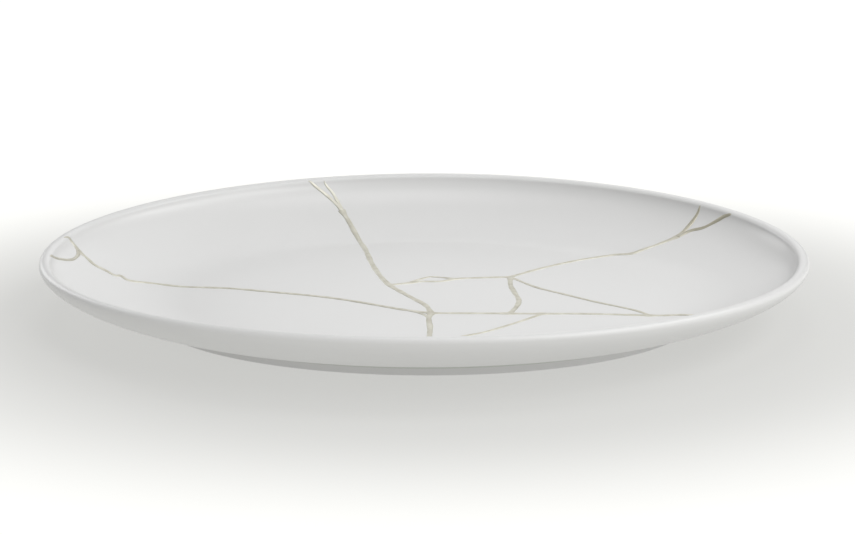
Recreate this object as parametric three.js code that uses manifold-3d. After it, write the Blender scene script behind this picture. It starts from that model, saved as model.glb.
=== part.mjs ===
// A white porcelain serving plate, oval and shallow, whose cracks are mended in gold.
// The body is one solid: a flat well, a wall that curves up to a rounded lip, and a foot ring.
// The mend is one connected network of low seams, lacquer dusted with gold, on the upper face.
// Millimetres, +Z up, +X along the plate's length. The origin is under the middle of the plate,
// on the surface that it stands on.

import * as THREE from 'three';
import { mergeVertices } from 'three/addons/utils/BufferGeometryUtils.js';
import Module from 'manifold-3d';

// The body's outline and heights
const plateLength = 360;
const plateWidth = 270;
const sideRimHeight = 33.7;
const endRimHeight = 31; // the rim dips a little towards both ends
const wellHeight = 9.3;

// The body's section
const wellThickness = 5;
const lipRadius = 2.1; // of the lip's outer half
const lipInnerReach = 3.3; // from the lip's crest to its inner edge, where it falls off more softly
const wallLean = 13; // degrees off upright, just under the lip
const wallRise = 15.4; // degrees off level, just above the foot
const wellOverhang = 0.5; // the well's edge lies this far outside the foot

// The foot ring
const footLength = 260;
const footWidth = 175;
const footHeight = 5;
const footRingWidth = 6;
const footTaper = 0.5; // how far the ring's outer side draws in on its way down
const footEdgeRadius = 0.8;

// The gold seams
const seamHeight = 0.4;
const seamClearance = 0.3; // between the seams' underside and the glaze
const seamTopShare = 0.55; // a seam's top is this share of its width
const hairline = 1.8;
const fineSeam = 2.2;
const fullSeam = 2.5;
const broadSeam = 2.7;

// How finely the curved faces are cut
const aroundSteps = 96;
const wallSteps = 9;
const lipSteps = 4; // on each half of the lip
const edgeSteps = 2;
const seamStep = 5.5;
const seamLipStep = 1.8; // finer where a seam runs onto the lip
const halvings = 30; // of the search for a point of the wall

const lean = THREE.MathUtils.degToRad(wallLean);
const rise = THREE.MathUtils.degToRad(wallRise);
const lipInnerTurn = Math.atan((Math.tan(lean) * lipRadius) / lipInnerReach);

// In a section, x is the distance from the plate's middle and y is the height.

// The wall leaves its lower point at the wall's rise and comes into its upper point at the wall's
// lean. The one control point of the curve is where those two lines cross.
function wallCurve(lower, upper) {
  const outward = new THREE.Vector2(Math.cos(rise), Math.sin(rise));
  const upward = new THREE.Vector2(Math.sin(lean), Math.cos(lean));
  const gap = upper.clone().sub(lower);
  const reach = gap.cross(upward) / outward.cross(upward);
  const corner = lower.clone().addScaledVector(outward, reach);
  return new THREE.QuadraticBezierCurve(lower, corner, upper);
}

// The lip is an arc of a circle outside its crest and of an ellipse inside it. Each ends where it
// meets its wall at the wall's lean.
function wallsAt(half, footHalf, rimHeight) {
  const centre = [half - lipRadius, rimHeight - lipRadius];
  const lipOuter = new THREE.EllipseCurve(...centre, lipRadius, lipRadius, -lean, Math.PI / 2);
  const innerEnd = Math.PI - lipInnerTurn;
  const lipInner = new THREE.EllipseCurve(...centre, lipInnerReach, lipRadius, Math.PI / 2, innerEnd);
  const wellEdge = new THREE.Vector2(footHalf + wellOverhang, wellHeight);
  const footTop = new THREE.Vector2(footHalf, footHeight);
  return {
    lipOuter,
    lipInner,
    inner: wallCurve(wellEdge, lipInner.getPoint(1)),
    outer: wallCurve(footTop, lipOuter.getPoint(0)),
  };
}

// Under the middle, out along the underside and the foot ring, up the outer wall, over the lip and
// back down the inner wall to the middle of the well.
function bodySection(walls, footHalf) {
  const undersideHeight = wellHeight - wellThickness;
  const ringInner = footHalf - footRingWidth;
  const ringOuter = footHalf - footTaper;
  const edge = footEdgeRadius;
  const innerEdge = new THREE.EllipseCurve(ringInner + edge, edge, edge, edge, Math.PI, 1.5 * Math.PI);
  const outerEdge = new THREE.EllipseCurve(ringOuter - edge, edge, edge, edge, -0.5 * Math.PI, 0);
  return [
    new THREE.Vector2(0, undersideHeight),
    new THREE.Vector2(ringInner - footTaper, undersideHeight),
    ...innerEdge.getPoints(edgeSteps),
    ...outerEdge.getPoints(edgeSteps),
    ...walls.outer.getPoints(wallSteps),
    ...walls.lipOuter.getPoints(lipSteps).slice(1, -1),
    ...walls.lipInner.getPoints(lipSteps).slice(0, -1),
    ...walls.inner.getPoints(wallSteps).reverse(),
    new THREE.Vector2(0, wellHeight),
  ];
}

const endWalls = wallsAt(plateLength / 2, footLength / 2, endRimHeight);
const sideWalls = wallsAt(plateWidth / 2, footWidth / 2, sideRimHeight);

// A point of the end section and the same point of the side section, carried round the oval.
function aroundOval(endPoint, sidePoint, angle) {
  const cosine = Math.cos(angle);
  const sine = Math.sin(angle);
  const height = endPoint.y * cosine * cosine + sidePoint.y * sine * sine;
  return new THREE.Vector3(endPoint.x * cosine, sidePoint.x * sine, height);
}

// A lathe of the end section, with each of its points then set on the oval.
function bodyGeometry() {
  const endSection = bodySection(endWalls, footLength / 2);
  const sideSection = bodySection(sideWalls, footWidth / 2);
  const geometry = new THREE.LatheGeometry(endSection, aroundSteps);
  const position = geometry.getAttribute('position');
  for (let i = 0; i <= aroundSteps; i += 1) {
    const angle = (2 * Math.PI * (i % aroundSteps)) / aroundSteps;
    for (let j = 0; j < endSection.length; j += 1) {
      const point = aroundOval(endSection[j], sideSection[j], angle);
      position.setXYZ(i * endSection.length + j, point.x, point.y, point.z);
    }
  }
  geometry.deleteAttribute('normal');
  geometry.deleteAttribute('uv');
  return mergeVertices(geometry);
}

// A point of the glaze above the well: shares 0 to 1 go up the inner wall, and 1 to 2 on over the
// inner half of the lip to its crest.
function glazeAt(walls, share) {
  return share > 1 ? walls.lipInner.getPoint(2 - share) : walls.inner.getPoint(share);
}

// The share at which the glaze's oval passes through a point of the plan. It is 0 all over the well.
function glazeShareAt(x, y) {
  const outside = (share) => {
    const end = glazeAt(endWalls, share).x;
    const side = glazeAt(sideWalls, share).x;
    return (x / end) ** 2 + (y / side) ** 2 > 1;
  };
  let low = 0;
  let high = 2;
  if (!outside(0)) {
    return 0;
  }
  for (let halving = 0; halving < halvings; halving += 1) {
    const middle = (low + high) / 2;
    if (outside(middle)) {
      low = middle;
    } else {
      high = middle;
    }
  }
  return high;
}

function glazeHeight(x, y) {
  const share = glazeShareAt(x, y);
  if (share === 0) {
    return wellHeight;
  }
  const end = glazeAt(endWalls, share);
  const side = glazeAt(sideWalls, share);
  return aroundOval(end, side, Math.atan2(y / side.x, x / end.x)).z;
}

function glazeNormal(x, y) {
  const reach = 0.2;
  const slopeX = (glazeHeight(x + reach, y) - glazeHeight(x - reach, y)) / (2 * reach);
  const slopeY = (glazeHeight(x, y + reach) - glazeHeight(x, y - reach)) / (2 * reach);
  return new THREE.Vector3(-slopeX, -slopeY, 1).normalize();
}

// Where seams meet or part, seen from above
const leftFork = [-168.8, 14.2];
const topFork = [-53.7, 109.3];
const rightFork = [120.5, 73.2];
const upperMeeting = [-17, 13.5];
const islandStart = [-8, 17.4];
const islandEnd = [13.5, 24.9];
const rightMeeting = [40, 29.5];
const nearMeeting = [7.5, -28];
const zigzagFoot = [43.5, -26.5];
const branching = [58.5, -26];
const crossing = [107.5, -25.7];
const hiddenMeeting = [10.5, -72];

// Each stroke of the mend: the points that it passes through, seen from above, and its width.
const strokes = [
  { width: hairline, route: [leftFork, [-170.4, 15.8], [-172.4, 16.6], [-174.2, 15.5], [-175.2, 13.4]] },
  {
    width: hairline,
    route: [leftFork, [-168, 10.5], [-168.2, 4], [-169.2, 0.2], [-172.2, -6.4], [-173.6, -11.2],
      [-173.9, -16.5]],
  },
  {
    width: fineSeam,
    route: [leftFork, [-163.4, 11], [-159.8, 7.9], [-154, 6.2], [-148.5, 4.2], [-146.5, 6], [-142.3, 3.2],
      [-131, 5.8], [-112, 5], [-93, 4], [-74, 0], [-45, -7], [-25.5, -14.6], [-6.5, -23.5], nearMeeting],
  },
  {
    width: hairline,
    route: [topFork, [-56, 111.9], [-60.1, 115.3], [-63.5, 117.1], [-67.4, 118.3], [-72.4, 118.7]],
  },
  { width: hairline, route: [topFork, [-55.3, 112.6], [-58.2, 116.8], [-60, 118.7], [-64.4, 120.7]] },
  {
    width: broadSeam,
    route: [topFork, [-49.5, 102.5], [-44.5, 92.3], [-41.7, 86.3], [-37.8, 76.6], [-33.9, 62.7],
      [-29.8, 47.5], [-23, 27.2], upperMeeting, [-10.5, 3.6], [-4.5, -5], [3.8, -17], nearMeeting],
  },
  {
    width: fineSeam,
    route: [upperMeeting, islandStart, [-3, 19.8], [7.2, 20.8], islandEnd, [25, 27.5], rightMeeting],
  },
  { width: hairline, route: [islandStart, [-3.8, 23], [1.1, 27.5], [6, 27.2], islandEnd] },
  { width: fullSeam, route: [rightMeeting, [41, 16.3], [43.4, 6], [46.5, -7], [46, -16], zigzagFoot] },
  {
    width: fineSeam,
    route: [rightMeeting, [51.5, 42], [65, 54], [78, 63], [89, 66], [98, 65.4], [103.5, 67.5], [111, 70],
      rightFork],
  },
  { width: fineSeam, route: [rightFork, [124.6, 77.5], [127.6, 81], [130.2, 84], [131.5, 85.6]] },
  { width: fineSeam, route: [rightFork, [126.6, 75], [133, 74.1], [138, 74.4], [142.5, 73.8], [146.5, 71]] },
  { width: hairline, route: [rightMeeting, [53.2, 14], [67.4, 3.5], [80.2, -5.7], [101, -19], crossing] },
  {
    width: fineSeam,
    route: [nearMeeting, zigzagFoot, branching, [75.5, -25], crossing, [114, -25.8], [121, -26.3], [128, -30],
      [136, -39], [143, -50], [147.5, -59], [150, -66.5]],
  },
  { width: hairline, route: [branching, [51, -35.2], [41, -46.5], [33.4, -54], [24, -60.5], hiddenMeeting] },
  { width: hairline, route: [[-3.5, -24.6], [2.5, -28.4], [6, -33], [7.8, -39]] },
  {
    width: broadSeam,
    route: [nearMeeting, [7.2, -35.5], [9, -48], [10, -60], hiddenMeeting, [8, -88], [11, -104], [9.5, -118],
      [10.5, -129.3]],
  },
];

// Where a stroke is cut, as shares of its curve: at each point of its route, and evenly between
// two points that lie further apart than the step there.
function cutShares(route) {
  const spans = route.length - 1;
  const shares = [0];
  for (let span = 0; span < spans; span += 1) {
    const [x, y] = route[span];
    const [nextX, nextY] = route[span + 1];
    const step = glazeShareAt(nextX, nextY) > 1 ? seamLipStep : seamStep;
    const cuts = Math.ceil(Math.hypot(nextX - x, nextY - y) / step);
    for (let cut = 1; cut <= cuts; cut += 1) {
      shares.push((span + cut / cuts) / spans);
    }
  }
  return shares;
}

// A low strip that follows its route over the glaze. Its section is a flat-topped ridge.
function strokeGeometry({ width, route }) {
  const curve = new THREE.CatmullRomCurve3(route.map(([x, y]) => new THREE.Vector3(x, y, 0)));
  const shares = cutShares(route);
  const ridge = [
    { across: -width / 2, up: seamClearance },
    { across: width / 2, up: seamClearance },
    { across: (width * seamTopShare) / 2, up: seamClearance + seamHeight },
    { across: (-width * seamTopShare) / 2, up: seamClearance + seamHeight },
  ];
  const vertices = [];
  const faces = [];
  for (const share of shares) {
    const { x, y } = curve.getPoint(share);
    const normal = glazeNormal(x, y);
    const across = normal.clone().cross(curve.getTangent(share)).normalize();
    const onGlaze = new THREE.Vector3(x, y, glazeHeight(x, y));
    for (const corner of ridge) {
      const vertex = onGlaze.clone().addScaledVector(across, -corner.across);
      vertex.addScaledVector(normal, corner.up);
      vertices.push(vertex.x, vertex.y, vertex.z);
    }
  }
  for (let i = 0; i < shares.length - 1; i += 1) {
    for (let side = 0; side < ridge.length; side += 1) {
      const here = i * ridge.length + side;
      const beside = i * ridge.length + ((side + 1) % ridge.length);
      faces.push(here, here + ridge.length, beside);
      faces.push(beside, here + ridge.length, beside + ridge.length);
    }
  }
  const last = (shares.length - 1) * ridge.length;
  faces.push(0, 1, 2, 0, 2, 3);
  faces.push(last, last + 2, last + 1, last, last + 3, last + 2);
  const geometry = new THREE.BufferGeometry();
  geometry.setAttribute('position', new THREE.Float32BufferAttribute(vertices, 3));
  geometry.setIndex(faces);
  return geometry;
}

const wasm = await Module();
wasm.setup();

function toSolid(geometry) {
  const vertProperties = new Float32Array(geometry.getAttribute('position').array);
  const triVerts = new Uint32Array(geometry.getIndex().array);
  return new wasm.Manifold(new wasm.Mesh({ numProp: 3, vertProperties, triVerts }));
}

function toGeometry(solid) {
  const mesh = solid.getMesh();
  const geometry = new THREE.BufferGeometry();
  geometry.setAttribute('position', new THREE.BufferAttribute(mesh.vertProperties, 3));
  geometry.setIndex(new THREE.BufferAttribute(mesh.triVerts, 1));
  return geometry;
}

// All strokes joined into one network, without the specks that are left between ends that meet
function seamsGeometry() {
  const solids = strokes.map((stroke) => toSolid(strokeGeometry(stroke)));
  const joined = solids.reduce((network, stroke) => network.add(stroke)).decompose();
  return toGeometry(joined.reduce((largest, speck) => (speck.volume() > largest.volume() ? speck : largest)));
}

function makePiece(name, geometry, finish) {
  geometry.computeVertexNormals();
  const piece = new THREE.Mesh(geometry, new THREE.MeshStandardMaterial(finish));
  piece.name = name;
  return piece;
}

const mendedPlate = new THREE.Group();
mendedPlate.add(makePiece('plate', bodyGeometry(), { color: '#e4e4e1', roughness: 0.15, metalness: 0 }));
mendedPlate.add(makePiece('gold_seams', seamsGeometry(), { color: '#b9ab84', roughness: 0.4, metalness: 1 }));

export default mendedPlate;
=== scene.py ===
import math

import bpy
import numpy as np
from mathutils import Matrix, Vector


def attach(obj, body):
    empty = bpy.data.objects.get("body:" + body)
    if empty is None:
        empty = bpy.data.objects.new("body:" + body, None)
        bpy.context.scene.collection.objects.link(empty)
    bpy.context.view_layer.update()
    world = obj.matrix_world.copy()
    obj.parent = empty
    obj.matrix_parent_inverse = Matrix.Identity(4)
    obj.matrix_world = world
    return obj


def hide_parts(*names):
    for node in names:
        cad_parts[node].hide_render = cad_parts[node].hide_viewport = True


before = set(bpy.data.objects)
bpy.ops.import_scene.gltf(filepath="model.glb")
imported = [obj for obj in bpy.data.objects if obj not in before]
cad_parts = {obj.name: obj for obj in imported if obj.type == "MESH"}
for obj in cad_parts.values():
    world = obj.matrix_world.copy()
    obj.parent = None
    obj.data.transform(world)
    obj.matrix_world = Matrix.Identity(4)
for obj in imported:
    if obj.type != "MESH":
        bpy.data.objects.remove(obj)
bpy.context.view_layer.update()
print("frame loaded:", sorted(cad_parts))

mm = 0.001


# Colours are written as sRGB hex and turned to linear here: value / 12.92 in the darkest part,
# and ((value + 0.055) / 1.055)^2.4 above it
def linearColour(hexText):
    values = [int(hexText[i:i + 2], 16) / 255 for i in (1, 3, 5)]
    return [v / 12.92 if v <= 0.04045 else ((v + 0.055) / 1.055) ** 2.4 for v in values] + [1]


# Adds one node, sets its properties and sockets, and links sockets to other nodes' outputs. A
# socket goes by its name or its number. A colour mix takes its share in 0 and its colours in 6
# and 7, and gives its colour in 2
def addNode(material, kind, properties=None, values=None, links=None):
    tree = material.node_tree
    node = tree.nodes.new(kind)
    for name, value in (properties or {}).items():
        setattr(node, name, value)
    for socket, value in (values or {}).items():
        node.inputs[socket].default_value = value
    for socket, source in (links or {}).items():
        tree.links.new(source, node.inputs[socket])
    return node


# A material with no nodes yet
def newMaterial(name):
    material = bpy.data.materials.new(name)
    material.use_nodes = True
    material.node_tree.nodes.clear()
    return material


# Puts the shader on the surface
def finishMaterial(material, shader):
    addNode(material, "ShaderNodeOutputMaterial", links={"Surface": shader.outputs[0]})
    return material


# Makes a smooth mesh piece from points in metres and faces of four or three corners
def addPiece(name, vertices, faces, material):
    mesh = bpy.data.meshes.new(name)
    mesh.from_pydata(vertices.tolist(), [], faces)
    mesh.polygons.foreach_set("use_smooth", np.ones(len(mesh.polygons), dtype=bool))
    mesh.materials.append(material)
    mesh.update()
    piece = bpy.data.objects.new(name, mesh)
    bpy.context.scene.collection.objects.link(piece)
    return piece


# Gives a piece one number at each point, for its material to read
def addAttribute(piece, name, values):
    attribute = piece.data.attributes.new(name, "FLOAT", "POINT")
    attribute.data.foreach_set("value", np.ascontiguousarray(values, dtype=np.float32))


# The body's outline and section, in millimetres
plateShape = {
    "length": 360,
    "width": 270,
    "sideRimHeight": 33.7,
    "endRimHeight": 31,  # the rim dips a little towards both ends
    "wellHeight": 9.3,  # of its upper face
    "wellThickness": 5,
    "lipRadius": 2.1,  # of the lip's outer half
    "lipInnerReach": 3.3,  # from the lip's crest to its inner edge, where it falls off more softly
    "wallLean": 13,  # degrees off upright, just under the lip
    "wallRise": 15.4,  # degrees off level, just above the foot
    "wellOverhang": 0.5,  # the well's edge lies this far outside the foot
    "footLength": 260,
    "footWidth": 175,
    "footHeight": 5,
    "footRingWidth": 6,
    "footTaper": 0.5,
    "footEdgeRadius": 0.8,
    "sideWellBend": 4,  # how far the soft bend at the well's edge reaches each way
    "endWellBend": 18,
    # the painted shade in the wall's hollow fades out over this height
    "paintedShadeHeight": 1.6,  # over the well, where the wall's hollow fades out
    "footBend": 1.1,  # how far the glaze that gathers over the foot reaches each way
    "aroundSteps": 440,
    "wallSteps": 44,
    "lipSteps": 16,  # over each half of the lip, and over the soft bend at the well's edge
    "bendSteps": 8,  # over the foot ring's edges and where the glaze gathers
    "undersideSteps": 12,
    "recessSteps": 4,
    "ringSteps": 5,  # over the foot ring's standing face, and over its outer side
    "wellSteps": 20,
    "halvings": 30,  # of the search for the glaze's height
    "slopeReach": 0.2,  # either way from a point, to find the glaze's slope there
}
lipRadius = plateShape["lipRadius"]
lipInnerReach = plateShape["lipInnerReach"]
lean = math.radians(plateShape["wallLean"])
rise = math.radians(plateShape["wallRise"])
lipInnerTurn = math.atan(math.tan(lean) * lipRadius / lipInnerReach)


# vector / its length
def unit(vector):
    return np.asarray(vector) / np.linalg.norm(vector)


# Straight from start to end: start + (end - start) t
def straight(start, end, steps):
    t = np.linspace(0, 1, steps + 1)[:, None]
    return np.asarray(start) * (1 - t) + np.asarray(end) * t


# Quadratic curve: (1 - t)^2 start + 2 t (1 - t) corner + t^2 end
def bend(start, corner, end, t):
    t = np.asarray(t, dtype=float)[..., None]
    start, corner, end = np.asarray(start), np.asarray(corner), np.asarray(end)
    return (1 - t) ** 2 * start + 2 * t * (1 - t) * corner + t ** 2 * end


# Circle or ellipse: centre + (radiusX cos a, radiusY sin a)
def arc(centre, radiusX, radiusY, angle):
    return np.asarray(centre) + np.stack([radiusX * np.cos(angle), radiusY * np.sin(angle)], axis=-1)


# The wall's curve leaves its lower point at the rise and meets its upper point at the lean;
# its corner is where those two lines cross
def wallCurve(lower, upper):
    outward = np.array([math.cos(rise), math.sin(rise)])
    upward = np.array([math.sin(lean), math.cos(lean)])
    gap = upper - lower
    reach = (gap[0] * upward[1] - gap[1] * upward[0]) / (outward[0] * upward[1] - outward[1] * upward[0])
    return lower, lower + reach * outward, upper


# The walls at one end or side. The lip's centre lies a lip radius in from the outline and down
# from the rim. The soft bend leaves level ground one reach before the well's edge and joins the
# wall at its share reach / (2 * distance from the edge to the curve's corner)
def wallsAt(half, footHalf, rimHeight, wellBend):
    lipCentre = np.array([half - lipRadius, rimHeight - lipRadius])
    lipInnerEnd = arc(lipCentre, lipInnerReach, lipRadius, math.pi - lipInnerTurn)
    lipOuterEnd = arc(lipCentre, lipRadius, lipRadius, -lean)
    wellEdge = np.array([footHalf + plateShape["wellOverhang"], plateShape["wellHeight"]])
    footTop = np.array([footHalf, plateShape["footHeight"]])
    inner = wallCurve(wellEdge, lipInnerEnd)
    bendShare = wellBend / (2 * np.linalg.norm(inner[1] - wellEdge))
    return {
        "lipCentre": lipCentre,
        "inner": inner,
        "outer": wallCurve(footTop, lipOuterEnd),
        "bendShare": bendShare,
        "wellBend": (wellEdge - [wellBend, 0], wellEdge, bend(*inner, bendShare)),
    }


# A point of the glaze by its share: from -1 over the soft bend at the well's edge, from 0 up the
# wall, and from 1 over the inner half of the lip to its crest at 2
def glazeAt(walls, share):
    share = np.asarray(share, dtype=float)
    onBend = bend(*walls["wellBend"], share + 1)
    onWall = bend(*walls["inner"], walls["bendShare"] + (1 - walls["bendShare"]) * share)
    onLip = arc(walls["lipCentre"], lipInnerReach, lipRadius,
                math.pi / 2 + (math.pi / 2 - lipInnerTurn) * (2 - share))
    return np.where((share > 1)[..., None], onLip, np.where((share < 0)[..., None], onBend, onWall))


# From under the middle, over the foot ring, up the outer wall, over the lip, and down to the
# middle of the well, as (distance from the middle, height). Each part has its points, how thick
# the glaze gathers there, how bare the clay is, and how much painted shade it gets in the hollow
# of the wall, which fades as exp(-(height over the well / painted shade height)^2)
def bodySection(walls, footHalf):
    shape = plateShape
    underside = shape["wellHeight"] - shape["wellThickness"]
    ringInner = footHalf - shape["footRingWidth"]
    ringOuter = footHalf - shape["footTaper"]
    edge = shape["footEdgeRadius"]
    footBend = shape["footBend"]
    outerTop = walls["outer"][0]
    footShare = footBend / (2 * np.linalg.norm(walls["outer"][1] - outerTop))
    ringSide = np.array([ringOuter, edge])
    belowTop = outerTop + footBend * unit(ringSide - outerTop)
    recessCorner = np.array([ringInner - shape["footTaper"], underside])
    besideRecess = recessCorner - [footBend, 0]
    belowRecess = recessCorner + footBend * unit([shape["footTaper"], edge - underside])
    overBend = np.linspace(0, 1, shape["bendSteps"] + 1)
    overLip = np.linspace(0, 1, shape["lipSteps"] + 1)
    overWall = np.linspace(0, 1, shape["wallSteps"] + 1)
    innerWall = glazeAt(walls, 1 - overWall)
    # painted shade: greyer glaze in the wall's hollow just above the well
    inPaintedShade = np.exp(-((innerWall[:, 1] - shape["wellHeight"]) / shape["paintedShadeHeight"]) ** 2)
    parts = [
        (straight([0, underside], besideRecess, shape["undersideSteps"]), 0, 0, 0),
        (bend(besideRecess, recessCorner, belowRecess, overBend), 1, 0, 0),
        (straight(belowRecess, [ringInner, edge], shape["recessSteps"]), 0, 0, 0),
        (arc([ringInner + edge, edge], edge, edge, math.pi * (1 + overBend / 2)), 0, 0, 0),
        (straight([ringInner + edge, 0], [ringOuter - edge, 0], shape["ringSteps"]), 0, 1, 0),
        (arc([ringOuter - edge, edge], edge, edge, math.pi * (overBend - 1) / 2), 0, 0, 0),
        (straight(ringSide, belowTop, shape["ringSteps"]), 0, 0, 0),
        (bend(belowTop, outerTop, bend(*walls["outer"], footShare), overBend), 1, 0, 0),
        (bend(*walls["outer"], footShare + (1 - footShare) * overWall), 0, 0, 0),
        (arc(walls["lipCentre"], lipRadius, lipRadius, -lean + (math.pi / 2 + lean) * overLip), 0, 0, 0),
        (glazeAt(walls, 2 - overLip), 0, 0, 0),
        (innerWall, 0, 0, inPaintedShade),
        (glazeAt(walls, -overLip), 0, 0, inPaintedShade[-1] * (1 - overLip) ** 2),
        (straight(walls["wellBend"][0], [0, shape["wellHeight"]], shape["wellSteps"]), 0, 0, 0),
    ]
    columns = []
    for line, *finish in parts:
        spread = [np.broadcast_to(value, len(line)) for value in finish]
        columns.append(np.column_stack([line] + spread)[:-1])
    middle = [0, shape["wellHeight"], 0, 0, 0]
    section = np.concatenate(columns + [[middle]])
    return section[:, :2], section[:, 2], section[:, 3], section[:, 4]


endWalls = wallsAt(plateShape["length"] / 2, plateShape["footLength"] / 2, plateShape["endRimHeight"],
                   plateShape["endWellBend"])
sideWalls = wallsAt(plateShape["width"] / 2, plateShape["footWidth"] / 2, plateShape["sideRimHeight"],
                    plateShape["sideWellBend"])


# Carries the two sections round the oval: x = end cos a, y = side sin a,
# height = end height cos^2 a + side height sin^2 a
def aroundOval(endPoints, sidePoints, angle):
    cosine, sine = np.cos(angle), np.sin(angle)
    height = endPoints[..., 1] * cosine ** 2 + sidePoints[..., 1] * sine ** 2
    return np.stack([endPoints[..., 0] * cosine, sidePoints[..., 0] * sine, height], axis=-1)


# Faces over a grid of (rings, steps around), each from one ring to the next. The first and the
# last ring are single points, so the grid is closed there
def ringFaces(rings, around):
    here = np.arange(around)
    beside = (here + 1) % around
    ring = 1 + np.arange(rings - 3)[:, None] * around
    quads = np.stack([ring + here, ring + beside, ring + around + beside, ring + around + here], axis=-1)
    lastRing = 1 + (rings - 3) * around
    bottom = np.stack([np.zeros(around, int), beside + 1, here + 1], axis=-1)
    top = np.stack([lastRing + here, lastRing + beside, np.full(around, lastRing + around)], axis=-1)
    return quads.reshape(-1, 4).tolist() + bottom.tolist() + top.tolist()


# The body as a grid of (step along the section, step around), closed at the middle above and
# below. The painted shade in the hollow is as deep as sin^2 of the angle, so it shows along the
# sides alone
def buildPlate(material):
    endSection, gathered, bare, paintedShade = bodySection(endWalls, plateShape["footLength"] / 2)
    sideSection = bodySection(sideWalls, plateShape["footWidth"] / 2)[0]
    around = plateShape["aroundSteps"]
    angle = np.arange(around) * 2 * math.pi / around
    grid = aroundOval(endSection[:, None, :], sideSection[:, None, :], angle[None, :])
    rings = len(grid)
    vertices = np.concatenate([grid[:1, 0], grid[1:-1].reshape(-1, 3), grid[-1:, 0]]) * mm
    piece = addPiece("porcelain_plate", vertices, ringFaces(rings, around), material)

    def spread(values):
        return np.concatenate([values[:1], np.repeat(values[1:-1], around), values[-1:]])

    alongSides = np.concatenate([[0], np.tile(np.sin(angle) ** 2, rings - 2), [0]])
    addAttribute(piece, "glazeGathered", spread(gathered))
    addAttribute(piece, "bareClay", spread(bare))
    addAttribute(piece, "sidePaintedShade", spread(paintedShade) * alongSides)
    return piece


# Height of the glaze over a point of the plan: the share whose oval passes through the point is
# found by halving, then height = end height cos^2 a + side height sin^2 a
def glazeHeight(x, y):
    low, high = np.full(x.shape, -1.0), np.full(x.shape, 2.0)

    def outside(share):
        end, side = glazeAt(endWalls, share), glazeAt(sideWalls, share)
        return (x / end[..., 0]) ** 2 + (y / side[..., 0]) ** 2 > 1

    onWell = ~outside(low)
    for halving in range(plateShape["halvings"]):
        middle = (low + high) / 2
        beyond = outside(middle)
        low, high = np.where(beyond, middle, low), np.where(beyond, high, middle)
    end, side = glazeAt(endWalls, high), glazeAt(sideWalls, high)
    angle = np.arctan2(y / side[..., 0], x / end[..., 0])
    return np.where(onWell, plateShape["wellHeight"], aroundOval(end, side, angle)[..., 2])


# Upright to the glaze: (-slope along x, -slope along y, 1) / its length
def glazeNormal(x, y):
    reach = plateShape["slopeReach"]
    slopeX = (glazeHeight(x + reach, y) - glazeHeight(x - reach, y)) / (2 * reach)
    slopeY = (glazeHeight(x, y + reach) - glazeHeight(x, y - reach)) / (2 * reach)
    normal = np.stack([-slopeX, -slopeY, np.ones(x.shape)], axis=-1)
    return normal / np.linalg.norm(normal, axis=-1, keepdims=True)


# The gold seams, in millimetres, seen from above
seamShape = {
    "height": 0.34,
    "sunk": 0.25,  # how far the underside lies under the glaze
    "step": 0.7,
    "spanSteps": 40,  # between two points of a route, before it is resampled
    "leastSteps": 4,
    "acrossSteps": 10,
    "waver": 0.14,  # share by which a brushed line's width comes and goes
    "waves": ((0.6, 3.1, 1), (0.4, 1.3, 2.3)),  # share of the waver, length, share of the phase
    "phaseStep": 1.7,  # from one stroke to the next
    "flare": 0.45,  # share by which it widens where seams meet
    "flareReach": 2.6,
    "taperReach": 5,  # before a free end
    "tipWidth": 0.25,  # shares of the width and height that a free end keeps
    "tipHeight": 0.35,
    "meetingReach": 1,  # an end this near a meeting isn't free
    "undersideReach": 0.8,  # share of the half width, to the underside's outer points
}
hairline, fineSeam, fullSeam, broadSeam = 1.8, 2.2, 2.5, 2.7  # widths
leftFork = (-168.8, 14.2)
topFork = (-53.7, 109.3)
rightFork = (120.5, 73.2)
upperMeeting = (-17, 13.5)
islandStart = (-8, 17.4)
islandEnd = (13.5, 24.9)
rightMeeting = (40, 29.5)
nearMeeting = (7.5, -28)
zigzagFoot = (43.5, -26.5)
branching = (58.5, -26)
crossing = (107.5, -25.7)
hiddenMeeting = (10.5, -72)
meetings = np.array([leftFork, topFork, rightFork, upperMeeting, islandStart, islandEnd, rightMeeting,
                     nearMeeting, zigzagFoot, branching, crossing, hiddenMeeting])
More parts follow.
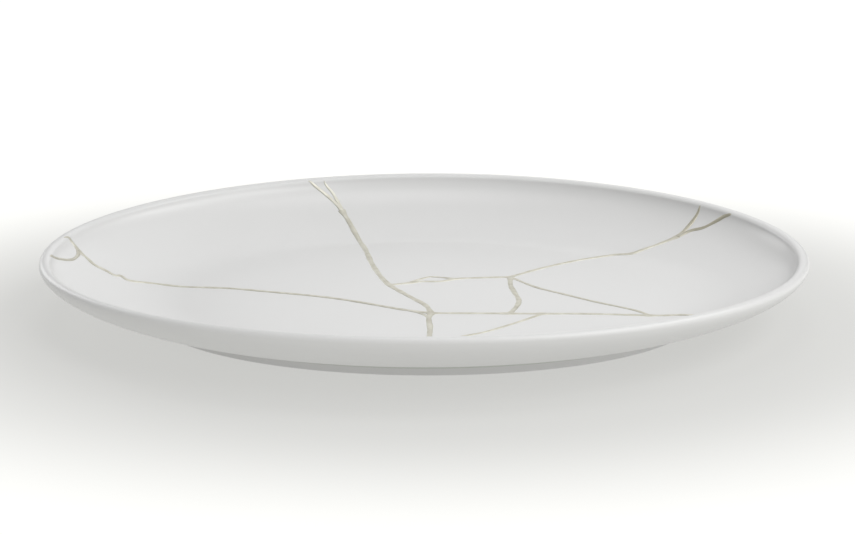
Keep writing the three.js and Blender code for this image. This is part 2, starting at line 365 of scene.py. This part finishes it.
strokes = [
    (hairline, [leftFork, (-170.4, 15.8), (-172.4, 16.6), (-174.2, 15.5), (-175.2, 13.4)]),
    (hairline, [leftFork, (-168, 10.5), (-168.2, 4), (-169.2, 0.2), (-172.2, -6.4), (-173.6, -11.2),
                (-173.9, -16.5)]),
    (fineSeam, [leftFork, (-163.4, 11), (-159.8, 7.9), (-154, 6.2), (-148.5, 4.2), (-146.5, 6),
                (-142.3, 3.2), (-131, 5.8), (-112, 5), (-93, 4), (-74, 0), (-45, -7), (-25.5, -14.6),
                (-6.5, -23.5), nearMeeting]),
    (hairline, [topFork, (-56, 111.9), (-60.1, 115.3), (-63.5, 117.1), (-67.4, 118.3), (-72.4, 118.7)]),
    (hairline, [topFork, (-55.3, 112.6), (-58.2, 116.8), (-60, 118.7), (-64.4, 120.7)]),
    (broadSeam, [topFork, (-49.5, 102.5), (-44.5, 92.3), (-41.7, 86.3), (-37.8, 76.6), (-33.9, 62.7),
                 (-29.8, 47.5), (-23, 27.2), upperMeeting, (-10.5, 3.6), (-4.5, -5), (3.8, -17),
                 nearMeeting]),
    (fineSeam, [upperMeeting, islandStart, (-3, 19.8), (7.2, 20.8), islandEnd, (25, 27.5), rightMeeting]),
    (hairline, [islandStart, (-3.8, 23), (1.1, 27.5), (6, 27.2), islandEnd]),
    (fullSeam, [rightMeeting, (41, 16.3), (43.4, 6), (46.5, -7), (46, -16), zigzagFoot]),
    (fineSeam, [rightMeeting, (51.5, 42), (65, 54), (78, 63), (89, 66), (98, 65.4), (103.5, 67.5),
                (111, 70), rightFork]),
    (fineSeam, [rightFork, (124.6, 77.5), (127.6, 81), (130.2, 84), (131.5, 85.6)]),
    (fineSeam, [rightFork, (126.6, 75), (133, 74.1), (138, 74.4), (142.5, 73.8), (146.5, 71)]),
    (hairline, [rightMeeting, (53.2, 14), (67.4, 3.5), (80.2, -5.7), (101, -19), crossing]),
    (fineSeam, [nearMeeting, zigzagFoot, branching, (75.5, -25), crossing, (114, -25.8), (121, -26.3),
                (128, -30), (136, -39), (143, -50), (147.5, -59), (150, -66.5)]),
    (hairline, [branching, (51, -35.2), (41, -46.5), (33.4, -54), (24, -60.5), hiddenMeeting]),
    (hairline, [(-3.5, -24.6), (2.5, -28.4), (6, -33), (7.8, -39)]),
    (broadSeam, [nearMeeting, (7.2, -35.5), (9, -48), (10, -60), hiddenMeeting, (8, -88), (11, -104),
                 (9.5, -118), (10.5, -129.3)]),
]


# (one * (knot of other - knot) + other * (knot - knot of one)) / (knot of other - knot of one)
def blend(one, oneKnot, other, otherKnot, knot):
    gap = otherKnot - oneKnot
    return one * (otherKnot - knot) / gap + other * (knot - oneKnot) / gap


# Centripetal Catmull-Rom curve through the route's points, resampled at even steps along it. Each
# knot is the one before plus the square root of the distance, and three rounds of blending by
# the knots turn four points into the curve between the middle two
def followRoute(route, step):
    points = np.array(route, dtype=float)
    points = np.concatenate([[2 * points[0] - points[1]], points, [2 * points[-1] - points[-2]]])
    runs = []
    for before, first, second, after in zip(points[:-3], points[1:-2], points[2:-1], points[3:]):
        knot0 = 0
        knot1 = knot0 + np.linalg.norm(first - before) ** 0.5
        knot2 = knot1 + np.linalg.norm(second - first) ** 0.5
        knot3 = knot2 + np.linalg.norm(after - second) ** 0.5
        knot = np.linspace(knot1, knot2, seamShape["spanSteps"], endpoint=False)[:, None]
        lineIn = blend(before, knot0, first, knot1, knot)
        lineAcross = blend(first, knot1, second, knot2, knot)
        lineOut = blend(second, knot2, after, knot3, knot)
        curveIn = blend(lineIn, knot0, lineAcross, knot2, knot)
        curveOut = blend(lineAcross, knot1, lineOut, knot3, knot)
        runs.append(blend(curveIn, knot1, curveOut, knot2, knot))
    line = np.concatenate(runs + [points[-2:-1]])
    along = np.concatenate([[0], np.cumsum(np.linalg.norm(np.diff(line, axis=0), axis=1))])
    steps = max(seamShape["leastSteps"], int(round(along[-1] / step)))
    even = np.linspace(0, along[-1], steps + 1)
    return np.stack([np.interp(even, along, line[:, i]) for i in range(2)], axis=-1), even


# A brushed ridge along a route: across = w/2 cos b, up = h sin b for b from 0 to pi, over a flat
# underside sunk into the glaze. w wavers along the line as a sum of sines, flares where seams meet
# as exp(-(distance / reach)^2), and tapers to a free end as the root of the distance to it. h
# grows with the root of the stroke's own width
def strokeMesh(width, route, phase):
    shape = seamShape
    plan, along = followRoute(route, shape["step"])
    x, y = plan[:, 0], plan[:, 1]
    normal = glazeNormal(x, y)
    spine = np.stack([x, y, glazeHeight(x, y)], axis=-1)
    forward = np.gradient(spine, axis=0)
    across = np.cross(normal, forward)
    across = across / np.linalg.norm(across, axis=1, keepdims=True)
    waves = [share * np.sin(along / length + shift * phase) for share, length, shift in shape["waves"]]
    waver = shape["waver"] * sum(waves)
    nearest = np.linalg.norm(plan[:, None, :] - meetings[None, :, :], axis=2).min(axis=1)
    flare = shape["flare"] * np.exp(-(nearest / shape["flareReach"]) ** 2)
    toEnd = np.where(nearest[-1] > shape["meetingReach"], along[-1] - along, shape["taperReach"])
    taper = np.clip(toEnd / shape["taperReach"], 0, 1) ** 0.5
    half = width / 2 * (1 + waver + flare) * (shape["tipWidth"] + (1 - shape["tipWidth"]) * taper)
    height = shape["height"] * (shape["tipHeight"] + (1 - shape["tipHeight"]) * taper)
    height = height * (1 + waver / 2) * (width / fineSeam) ** 0.5
    turn = np.linspace(0, math.pi, shape["acrossSteps"] + 1)
    sides = np.concatenate([np.cos(turn), shape["undersideReach"] * np.array([-1, 0, 1])])
    ups = np.concatenate([[0], np.sin(turn[1:-1]), np.zeros(4)])
    rise = height[:, None] * ups[None, :] - np.where(ups > 0, 0, shape["sunk"])[None, :]
    sideways = across[:, None] * (half[:, None] * sides)[..., None]
    grid = spine[:, None] + sideways + normal[:, None] * rise[..., None]
    stations, corners = grid.shape[:2]
    first, last = grid[0].mean(axis=0), grid[-1].mean(axis=0)
    vertices = np.concatenate([[first], grid.reshape(-1, 3), [last]]) * mm
    here = np.arange(corners)
    beside = (here + 1) % corners
    ring = 1 + np.arange(stations - 1)[:, None] * corners
    nextRing = ring + corners
    quads = np.stack([ring + here, nextRing + here, nextRing + beside, ring + beside], axis=-1)
    lastRing = 1 + (stations - 1) * corners
    caps = np.stack([np.zeros(corners, int), here + 1, beside + 1], axis=-1)
    tip = np.full(corners, lastRing + corners)
    endCaps = np.stack([lastRing + beside, lastRing + here, tip], axis=-1)
    return vertices, quads.reshape(-1, 4).tolist() + caps.tolist() + endCaps.tolist()


# Joins the strokes into one network with the boolean modifier
def buildSeams(material):
    pieces = []
    for i, (width, route) in enumerate(strokes):
        vertices, faces = strokeMesh(width, route, seamShape["phaseStep"] * i)
        pieces.append(addPiece(f"stroke_{i}", vertices, faces, material))
    network = pieces[0]
    for stroke in pieces[1:]:
        joining = network.modifiers.new("joining", "BOOLEAN")
        joining.operation = "UNION"
        joining.solver = "MANIFOLD"
        joining.object = stroke
    bpy.context.view_layer.update()
    joined = bpy.data.meshes.new_from_object(network.evaluated_get(bpy.context.evaluated_depsgraph_get()))
    network.modifiers.clear()
    for stroke in pieces:
        bpy.data.objects.remove(stroke)
    joined.name = "kintsugi_seams"
    seams = bpy.data.objects.new("kintsugi_seams", joined)
    bpy.context.scene.collection.objects.link(seams)
    return seams


# Hard porcelain, pressed and glazed: a dense white body under clear glass, so it looks smooth,
# slightly cool and soft-edged, with a faint green grey where the glaze gathers in corners, and
# painted shade: a little greyer in the hollow along the long sides of the well
porcelainLook = {
    "white": "#dfdfde",
    "clouded": "#dbdbda",
    "gathered": "#cdd1c9",
    # painted shade, in the hollow along the well's long sides
    "paintedShade": "#d7d7d6",
    "bisque": "#c9c4b8",
    "ior": 1.5,
    "roughness": 0.32,
    "bareRoughness": 0.85,
    "cloudSize": 55,  # mm
    "orangePeelSize": 7,
    "orangePeelDepth": 0.012,
    "clayGrainSize": 0.6,  # coarser than the real grain, so that it shows
    "clayGrainDepth": 0.04,
}


def glazedPorcelain():
    look = porcelainLook
    glaze = newMaterial("glazed hard porcelain")
    place = addNode(glaze, "ShaderNodeTexCoord").outputs["Object"]
    clouds = addNode(glaze, "ShaderNodeTexNoise",
                     values={"Scale": 1 / (look["cloudSize"] * mm), "Detail": 3}, links={"Vector": place})
    body = addNode(glaze, "ShaderNodeMix", {"data_type": "RGBA"},
                   {6: linearColour(look["white"]), 7: linearColour(look["clouded"])},
                   {0: clouds.outputs["Fac"]})
    # Painted shade: a little greyer in the hollow along the long sides of the well
    paintedShade = addNode(glaze, "ShaderNodeAttribute", {"attribute_name": "sidePaintedShade"})
    shaded = addNode(glaze, "ShaderNodeMix", {"data_type": "RGBA"}, {7: linearColour(look["paintedShade"])},
                     {0: paintedShade.outputs["Fac"], 6: body.outputs[2]})
    gathered = addNode(glaze, "ShaderNodeAttribute", {"attribute_name": "glazeGathered"})
    tinted = addNode(glaze, "ShaderNodeMix", {"data_type": "RGBA"}, {7: linearColour(look["gathered"])},
                     {0: gathered.outputs["Fac"], 6: shaded.outputs[2]})
    bare = addNode(glaze, "ShaderNodeAttribute", {"attribute_name": "bareClay"})
    colour = addNode(glaze, "ShaderNodeMix", {"data_type": "RGBA"}, {7: linearColour(look["bisque"])},
                     {0: bare.outputs["Fac"], 6: tinted.outputs[2]})
    roughness = addNode(glaze, "ShaderNodeMapRange",
                        values={"To Min": look["roughness"], "To Max": look["bareRoughness"]},
                        links={"Value": bare.outputs["Fac"]})
    peel = addNode(glaze, "ShaderNodeTexNoise",
                   values={"Scale": 1 / (look["orangePeelSize"] * mm), "Detail": 1},
                   links={"Vector": place})
    wavy = addNode(glaze, "ShaderNodeBump",
                   values={"Strength": 1, "Distance": look["orangePeelDepth"] * mm},
                   links={"Height": peel.outputs["Fac"]})
    grain = addNode(glaze, "ShaderNodeTexNoise",
                    values={"Scale": 1 / (look["clayGrainSize"] * mm), "Detail": 4},
                    links={"Vector": place})
    grainHeight = addNode(glaze, "ShaderNodeMath", {"operation": "MULTIPLY"},
                          links={0: grain.outputs["Fac"], 1: bare.outputs["Fac"]})
    rough = addNode(glaze, "ShaderNodeBump",
                    values={"Strength": 1, "Distance": look["clayGrainDepth"] * mm},
                    links={"Height": grainHeight.outputs[0], "Normal": wavy.outputs[0]})
    shader = addNode(glaze, "ShaderNodeBsdfPrincipled", values={"IOR": look["ior"]},
                     links={"Base Color": colour.outputs[2], "Roughness": roughness.outputs[0],
                            "Normal": rough.outputs[0]})
    return finishMaterial(glaze, shader)


# Lacquer dusted with gold powder and burnished: a pale, warm metal with a soft satin sheen, a
# little darker where less powder took, and darker and browner at the right fork: painted shade
goldLook = {
    "gold": "#e4e2d7",
    "thinGold": "#d2cfc2",
    # painted shade at the right fork
    "paintedGoldShade": "#c0bcab",
    "paintedGoldShadeSpot": (137, 77, 28),  # mm, round the tips of the right fork
    "paintedGoldShadeReach": {"near": 6, "far": 26},
    "roughness": {"least": 0.5, "most": 0.65},
    "patchSize": 5,  # mm
    "patchEdges": {"low": 0.35, "high": 0.7},  # of the noise
    "powderSize": 0.35,  # coarser than real powder, so that it shows
    "powderDepth": 0.02,
}


def dustedGold():
    look = goldLook
    gold = newMaterial("gold powder on lacquer")
    place = addNode(gold, "ShaderNodeTexCoord").outputs["Object"]
    patches = addNode(gold, "ShaderNodeTexNoise",
                      values={"Scale": 1 / (look["patchSize"] * mm), "Detail": 4},
                      links={"Vector": place})
    edges = look["patchEdges"]
    contrast = addNode(gold, "ShaderNodeMapRange",
                       values={"From Min": edges["low"], "From Max": edges["high"]},
                       links={"Value": patches.outputs["Fac"]})
    colour = addNode(gold, "ShaderNodeMix", {"data_type": "RGBA"},
                     {6: linearColour(look["gold"]), 7: linearColour(look["thinGold"])},
                     {0: contrast.outputs[0]})
    fromSpot = addNode(gold, "ShaderNodeVectorMath", {"operation": "DISTANCE"},
                       {1: [value * mm for value in look["paintedGoldShadeSpot"]]}, {0: place})
    # Painted shade: darker and browner round the right fork's tips
    paintedGoldShade = addNode(gold, "ShaderNodeMapRange", {"interpolation_type": "SMOOTHSTEP"},
                   {"From Min": look["paintedGoldShadeReach"]["near"] * mm, "From Max": look["paintedGoldShadeReach"]["far"] * mm,
                    "To Min": 1, "To Max": 0},
                   {"Value": fromSpot.outputs["Value"]})
    withGoldShade = addNode(gold, "ShaderNodeMix", {"data_type": "RGBA"}, {7: linearColour(look["paintedGoldShade"])},
                   {0: paintedGoldShade.outputs[0], 6: colour.outputs[2]})
    satin = look["roughness"]
    roughness = addNode(gold, "ShaderNodeMapRange",
                        values={"To Min": satin["least"], "To Max": satin["most"]},
                        links={"Value": patches.outputs["Fac"]})
    powder = addNode(gold, "ShaderNodeTexNoise",
                     values={"Scale": 1 / (look["powderSize"] * mm), "Detail": 2},
                     links={"Vector": place})
    grain = addNode(gold, "ShaderNodeBump", values={"Strength": 1, "Distance": look["powderDepth"] * mm},
                    links={"Height": powder.outputs["Fac"]})
    shader = addNode(gold, "ShaderNodeBsdfPrincipled", values={"Metallic": 1},
                     links={"Base Color": withGoldShade.outputs[2], "Roughness": roughness.outputs[0],
                            "Normal": grain.outputs[0]})
    return finishMaterial(gold, shader)


plate = buildPlate(glazedPorcelain())
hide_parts("plate")
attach(plate, "root")
print("plate:", len(plate.data.polygons), "faces")

seams = buildSeams(dustedGold())
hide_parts("gold_seams")
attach(seams, "root")
print("seams:", len(seams.data.polygons), "faces")

# The studio: a table top that glows though it is no lamp (painted light), which makes it look
# white and without a sheen; its glow is weaker round the plate, a painted shadow. Light comes
# from all sides and from soft round lamps turned to the plate. A lamp's azimuth goes from +X
# towards +Y
studio = {
    "floorColour": "#7c7c7b",
    "floorMottle": "#777776",
    "floorMottleSize": 0.33,  # m
    # weaker at the plate's rim than away from it: a painted shadow round the plate
    "floorGlow": {"near": 0.51, "far": 0.86},  # its strength at the plate's rim and away from it
    "floorGlowReach": {"near": 1, "far": 2},  # as shares of the plate's own oval
    "floorGlowColour": "#fffffc",
    "floorRoughness": 0.9,
    "floorSpecular": 0.1,
    "floorSize": 14,  # m
    "worldColour": "#ffffff",
    "worldStrength": 0.35,
    "lampDistance": 2,  # m
    "lampSize": 1.1,  # m
    "lamps": {
        "front right low": {"elevation": 20, "azimuth": 315, "watts": 4.9},
        "front right high": {"elevation": 45, "azimuth": 315, "watts": 9.9},
        "right": {"elevation": 45, "azimuth": 0, "watts": 10.7},
        "rear low": {"elevation": 20, "azimuth": 90, "watts": 2.15},
        "rear high": {"elevation": 45, "azimuth": 90, "watts": 1.7},
        "rear left": {"elevation": 20, "azimuth": 135, "watts": 6.2},
        "overhead": {"elevation": 90, "azimuth": 0, "watts": 6},
    },
}


# The glow grows from near to far with the share sqrt((x / half length)^2 + (y / half width)^2),
# so it is weakest round the plate: a painted shadow
def buildFloor():
    half = studio["floorSize"] / 2
    corners = half * np.array([(-1, -1, 0), (1, -1, 0), (1, 1, 0), (-1, 1, 0)], dtype=float)
    tableTop = newMaterial("glowing table top with painted shadow")
    place = addNode(tableTop, "ShaderNodeTexCoord").outputs["Object"]
    mottle = addNode(tableTop, "ShaderNodeTexNoise",
                     values={"Scale": 1 / studio["floorMottleSize"], "Detail": 2}, links={"Vector": place})
    colour = addNode(tableTop, "ShaderNodeMix", {"data_type": "RGBA"},
                     {6: linearColour(studio["floorColour"]), 7: linearColour(studio["floorMottle"])},
                     {0: mottle.outputs["Fac"]})
    halves = (plateShape["length"] / 2 * mm, plateShape["width"] / 2 * mm)
    onOval = addNode(tableTop, "ShaderNodeVectorMath", {"operation": "MULTIPLY"},
                     {1: (1 / halves[0], 1 / halves[1], 0)}, {0: place})
    away = addNode(tableTop, "ShaderNodeVectorMath", {"operation": "LENGTH"}, links={0: onOval.outputs[0]})
    strength, reach = studio["floorGlow"], studio["floorGlowReach"]
    glow = addNode(tableTop, "ShaderNodeMapRange", {"interpolation_type": "SMOOTHSTEP"},
                   {"From Min": reach["near"], "From Max": reach["far"],
                    "To Min": strength["near"], "To Max": strength["far"]},
                   {"Value": away.outputs["Value"]})
    shader = addNode(tableTop, "ShaderNodeBsdfPrincipled",
                     values={"Roughness": studio["floorRoughness"],
                             "Specular IOR Level": studio["floorSpecular"],
                             "Emission Color": linearColour(studio["floorGlowColour"])},
                     links={"Base Color": colour.outputs[2], "Emission Strength": glow.outputs[0]})
    floor = addPiece("studio_floor", corners, [(0, 1, 2, 3)], finishMaterial(tableTop, shader))


# A lamp stands at distance * (cos e cos a, cos e sin a, sin e), for elevation e and azimuth a
def buildLights():
    for name, light in studio["lamps"].items():
        lamp = bpy.data.lights.new(name, "AREA")
        lamp.shape = "DISK"
        lamp.size = studio["lampSize"]
        lamp.energy = light["watts"]
        elevation, azimuth = math.radians(light["elevation"]), math.radians(light["azimuth"])
        level = math.cos(elevation)
        place = Vector((level * math.cos(azimuth), level * math.sin(azimuth), math.sin(elevation)))
        place *= studio["lampDistance"]
        holder = bpy.data.objects.new(name, lamp)
        turned = place.to_track_quat("Z", "Y").to_matrix().to_4x4()
        holder.matrix_world = Matrix.Translation(place) @ turned
        bpy.context.scene.collection.objects.link(holder)
    world = bpy.data.worlds.new("studio")
    world.use_nodes = True
    background = world.node_tree.nodes["Background"]
    background.inputs["Color"].default_value = linearColour(studio["worldColour"])
    background.inputs["Strength"].default_value = studio["worldStrength"]
    bpy.context.scene.world = world
    bpy.context.scene.view_settings.view_transform = "Standard"


# The photograph's view, of 855 by 535 pixels. The camera stands this far from the plate, turned
# by the azimuth round it and raised by the elevation, and its focal length is in pixels
view = {
    "pixelsWide": 855,
    "focalPixels": 2121,
    "distance": 1000,  # mm
    "azimuth": 6.315,
    "elevation": 17.071,
    "roll": 0.955,
    "targetHeight": 17,  # mm
    "offRight": 2.983,  # mm, along the picture
    "offUp": 5.244,
    "sensor": 36,  # mm
}


# The camera looks along -(sin a cos e, -cos a cos e, sin e), for azimuth a and elevation e
def buildCamera():
    azimuth, elevation, roll = (math.radians(view[k]) for k in ("azimuth", "elevation", "roll"))
    level = math.cos(elevation)
    back = Vector((math.sin(azimuth) * level, -math.cos(azimuth) * level, math.sin(elevation)))
    right = Vector((math.cos(azimuth), math.sin(azimuth), 0))
    up = back.cross(right)
    target = Vector((0, 0, view["targetHeight"])) + right * view["offRight"] + up * view["offUp"]
    place = target + back * view["distance"]
    turnedRight = right * math.cos(roll) - up * math.sin(roll)
    turnedUp = right * math.sin(roll) + up * math.cos(roll)
    data = bpy.data.cameras.new("camera")
    data.sensor_width = view["sensor"]
    data.lens = view["focalPixels"] * view["sensor"] / view["pixelsWide"]
    camera = bpy.data.objects.new("camera", data)
    turned = Matrix((turnedRight, turnedUp, back)).transposed().to_4x4()
    camera.matrix_world = Matrix.Translation(place * mm) @ turned
    bpy.context.scene.collection.objects.link(camera)
    bpy.context.scene.camera = camera


buildFloor()
buildLights()
buildCamera()
print("studio and camera ready")
